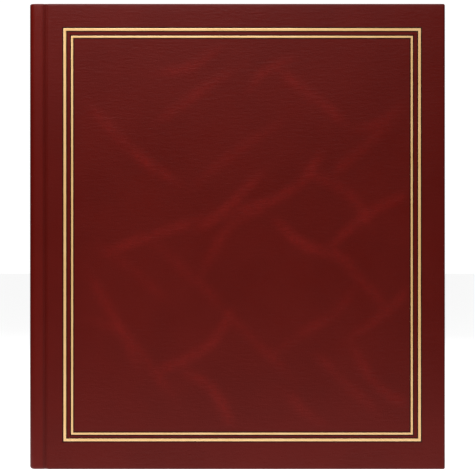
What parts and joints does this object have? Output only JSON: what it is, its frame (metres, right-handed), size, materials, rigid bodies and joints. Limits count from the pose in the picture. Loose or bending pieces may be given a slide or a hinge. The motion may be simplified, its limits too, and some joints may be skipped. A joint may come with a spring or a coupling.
{
  "type": "stamp album",
  "caption": "Padded leatherette stamp album with a gilt double-line frame, post-bound stock leaves and two covers that open flat.",
  "frame": {"origin": "middle of the base, where the album stands on its tail edges", "axes": "+Z from tail to head, +X from the spine to the fore-edge, +Y from the front cover to the back cover"},
  "size_m": [0.29, 0.05, 0.325],
  "materials": {
    "leatherette": "fine grained, satin",
    "gold_foil": "hot-stamped foil, satin",
    "foam": "open foam sheet",
    "greyboard": "pressed grey board",
    "lining_paper": "laid paper, matt",
    "cream_card": "uncoated card, matt",
    "black_card": "dyed card, matt",
    "clear_film": "clear polyester film",
    "glassine": "translucent glazed paper",
    "rail_steel": "black enamelled steel",
    "rivet_steel": "plain steel",
    "post_brass": "turned brass"
  },
  "bodies": {
    "spine": {"spine_core": "greyboard", "spine_skin": "leatherette", "spine_lining": "lining_paper", "spine_gold_bands": "gold_foil", "front_joint_strip": "leatherette", "back_joint_strip": "leatherette", "front_binding_rail": "rail_steel", "back_binding_rail": "rail_steel", "rail_rivets": "rivet_steel", "post_barrels": "post_brass", "post_screws": "post_brass", "margin_guards": "black_card", "turning_leaf_margins": "black_card", "block_stock_leaves": "black_card", "block_leaf_strips": "clear_film", "block_interleaves": "glassine"},
    "front_cover": {"front_cover_skin": "leatherette", "front_cover_padding": "foam", "front_cover_board": "greyboard", "front_cover_filler": "greyboard", "front_cover_lining": "lining_paper", "gold_outer_frame": "gold_foil", "gold_inner_frame": "gold_foil"},
    "back_cover": {"back_cover_skin": "leatherette", "back_cover_padding": "foam", "back_cover_board": "greyboard", "back_cover_filler": "greyboard", "back_cover_lining": "lining_paper"},
    "flyleaf": {"flyleaf": "cream_card"},
    "stock_leaf_1": {"stock_leaf_1": "black_card", "stock_leaf_1_strips": "clear_film"},
    "interleaf_1": {"interleaf_1": "glassine"},
    "stock_leaf_2": {"stock_leaf_2": "black_card", "stock_leaf_2_strips": "clear_film"},
    "interleaf_2": {"interleaf_2": "glassine"},
    "stock_leaf_3": {"stock_leaf_3": "black_card", "stock_leaf_3_strips": "clear_film"}
  },
  "joints": [
    {"name": "front_cover_hinge", "type": "hinge", "parent": "spine", "child": "front_cover", "pos_m": [-0.13445, -0.02525, 0.1625], "axis": [0, 0, -1], "range_deg": [0, 179.9]},
    {"name": "back_cover_hinge", "type": "hinge", "parent": "spine", "child": "back_cover", "pos_m": [-0.13445, 0.02525, 0.1625], "axis": [0, 0, 1], "range_deg": [0, 179.9]},
    {"name": "flyleaf_fold", "type": "hinge", "parent": "spine", "child": "flyleaf", "pos_m": [-0.1121, -0.01688, 0.1625], "axis": [0, 0, -1], "range_deg": [0, 143.92]},
    {"name": "stock_leaf_1_fold", "type": "hinge", "parent": "spine", "child": "stock_leaf_1", "pos_m": [-0.1096, -0.01562, 0.1625], "axis": [0, 0, -1], "range_deg": [0, 125.93]},
    {"name": "interleaf_1_fold", "type": "hinge", "parent": "spine", "child": "interleaf_1", "pos_m": [-0.1071, -0.01438, 0.1625], "axis": [0, 0, -1], "range_deg": [0, 107.94]},
    {"name": "stock_leaf_2_fold", "type": "hinge", "parent": "spine", "child": "stock_leaf_2", "pos_m": [-0.1046, -0.01312, 0.1625], "axis": [0, 0, -1], "range_deg": [0, 86.35]},
    {"name": "interleaf_2_fold", "type": "hinge", "parent": "spine", "child": "interleaf_2", "pos_m": [-0.1021, -0.01188, 0.1625], "axis": [0, 0, -1], "range_deg": [0, 61.17]},
    {"name": "stock_leaf_3_fold", "type": "hinge", "parent": "spine", "child": "stock_leaf_3", "pos_m": [-0.0996, -0.01063, 0.1625], "axis": [0, 0, -1], "range_deg": [0, 35.98]}
  ],
  "couplings": [
    {"joint": "flyleaf_fold", "follows": "front_cover_hinge", "ratio": 0.8},
    {"joint": "stock_leaf_1_fold", "follows": "front_cover_hinge", "ratio": 0.7},
    {"joint": "interleaf_1_fold", "follows": "front_cover_hinge", "ratio": 0.6},
    {"joint": "stock_leaf_2_fold", "follows": "front_cover_hinge", "ratio": 0.48},
    {"joint": "interleaf_2_fold", "follows": "front_cover_hinge", "ratio": 0.34},
    {"joint": "stock_leaf_3_fold", "follows": "front_cover_hinge", "ratio": 0.2}
  ]
}
